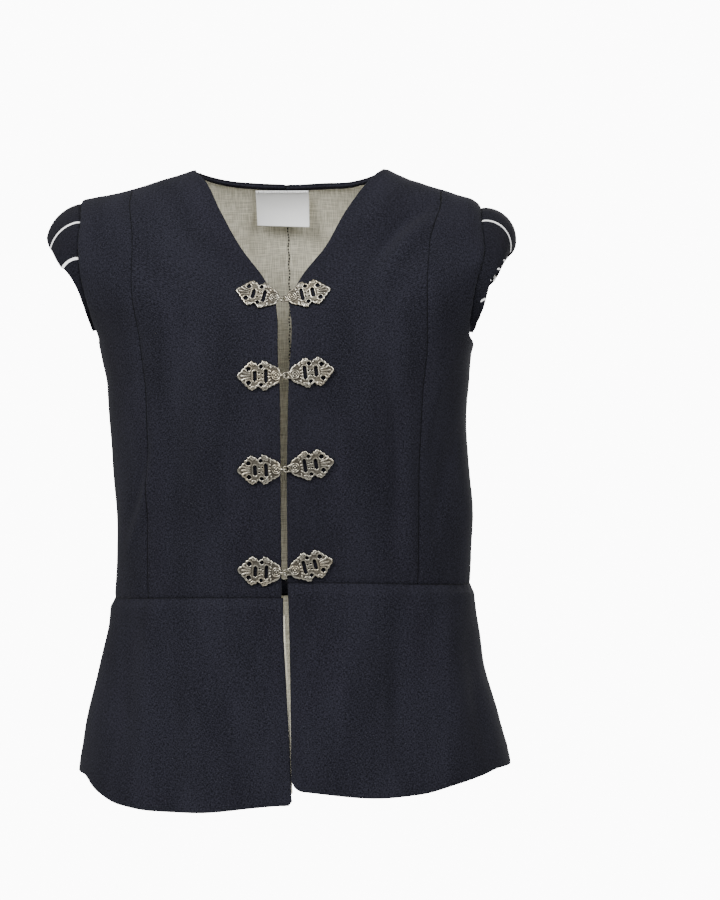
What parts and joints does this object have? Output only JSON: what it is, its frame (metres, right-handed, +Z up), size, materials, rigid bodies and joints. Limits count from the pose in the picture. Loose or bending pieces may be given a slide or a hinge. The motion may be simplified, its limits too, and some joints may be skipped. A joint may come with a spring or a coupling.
{
  "type": "doublet",
  "caption": "Sleeveless wool doublet with short skirts, striped shoulder wings and hook clasps down a V-necked front, filled out as worn, with neck, armholes and hem open.",
  "frame": {"origin": "midway between the two points where the neck meets the shoulder line, where the doublet hangs on its wearer", "axes": "the front faces -Y, +Z is up, and the wearer's right is -X"},
  "size_m": [0.4573, 0.2683, 0.6059],
  "materials": {
    "navy_cloth": "fulled dark navy wool, matt and slightly heathered",
    "wing_cloth": "smooth dark navy wool with narrow white stripes",
    "linen_lining": "unbleached slubbed linen",
    "label_tape": "white woven tape",
    "aged_silver": "cast and darkened silver colour, bright on its raised parts"
  },
  "bodies": {
    "root": {"front_centre_right": "navy_cloth", "front_centre_left": "navy_cloth", "front_side_right": "navy_cloth", "front_side_left": "navy_cloth", "back_right": "navy_cloth", "back_left": "navy_cloth", "skirt_front_right": "navy_cloth", "skirt_front_left": "navy_cloth", "skirt_back": "navy_cloth", "wing_right": "wing_cloth", "wing_left": "wing_cloth", "lining_back_right": "linen_lining", "lining_back_left": "linen_lining", "lining_skirt_back": "linen_lining", "lining_skirt_right": "linen_lining", "neck_binding": "navy_cloth", "label": "label_tape", "clasp_1_hook": "aged_silver", "clasp_1_eye": "aged_silver", "clasp_2_hook": "aged_silver", "clasp_2_eye": "aged_silver", "clasp_3_hook": "aged_silver", "clasp_3_eye": "aged_silver", "clasp_4_hook": "aged_silver", "clasp_4_eye": "aged_silver"}
  },
  "joints": []
}
